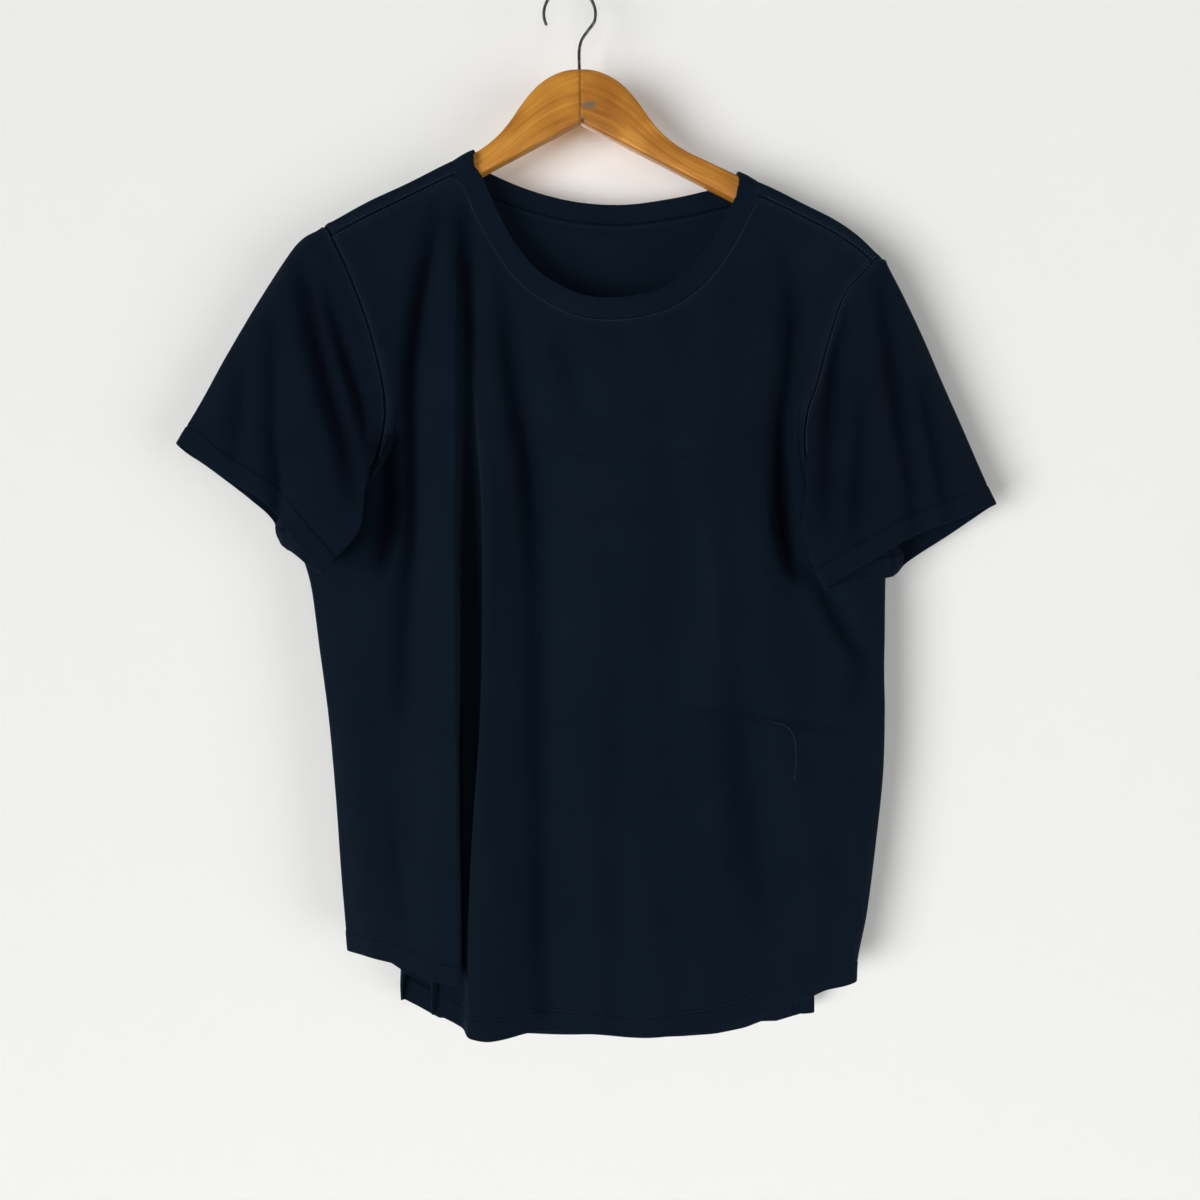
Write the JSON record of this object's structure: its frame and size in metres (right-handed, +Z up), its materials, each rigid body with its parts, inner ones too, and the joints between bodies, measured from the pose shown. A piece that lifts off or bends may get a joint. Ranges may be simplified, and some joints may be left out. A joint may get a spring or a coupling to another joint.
{
  "type": "t-shirt on hanger",
  "caption": "Plain short-sleeved crew-neck t-shirt with a curved hem and soft vertical folds, hanging open on a wooden hanger with a wire hook.",
  "frame": {"origin": "inside top of the hook's round, where the rail carries the hanger", "axes": "+Z up, +X to the viewer's right, -Y towards the viewer, who faces the front panel"},
  "size_m": [0.6341, 0.0658, 0.8237],
  "materials": {
    "navy_knit": "matt fine cotton jersey",
    "sleeve_knit": "matt fine cotton jersey",
    "varnished_wood": "clear varnish",
    "hook_steel": "dull"
  },
  "bodies": {
    "root": {"front_panel": "navy_knit", "back_panel": "navy_knit", "sleeve_left": "sleeve_knit", "sleeve_right": "sleeve_knit", "neckband": "navy_knit", "hanger_arm_left": "varnished_wood", "hanger_arm_right": "varnished_wood", "hanger_hook": "hook_steel"}
  },
  "joints": []
}
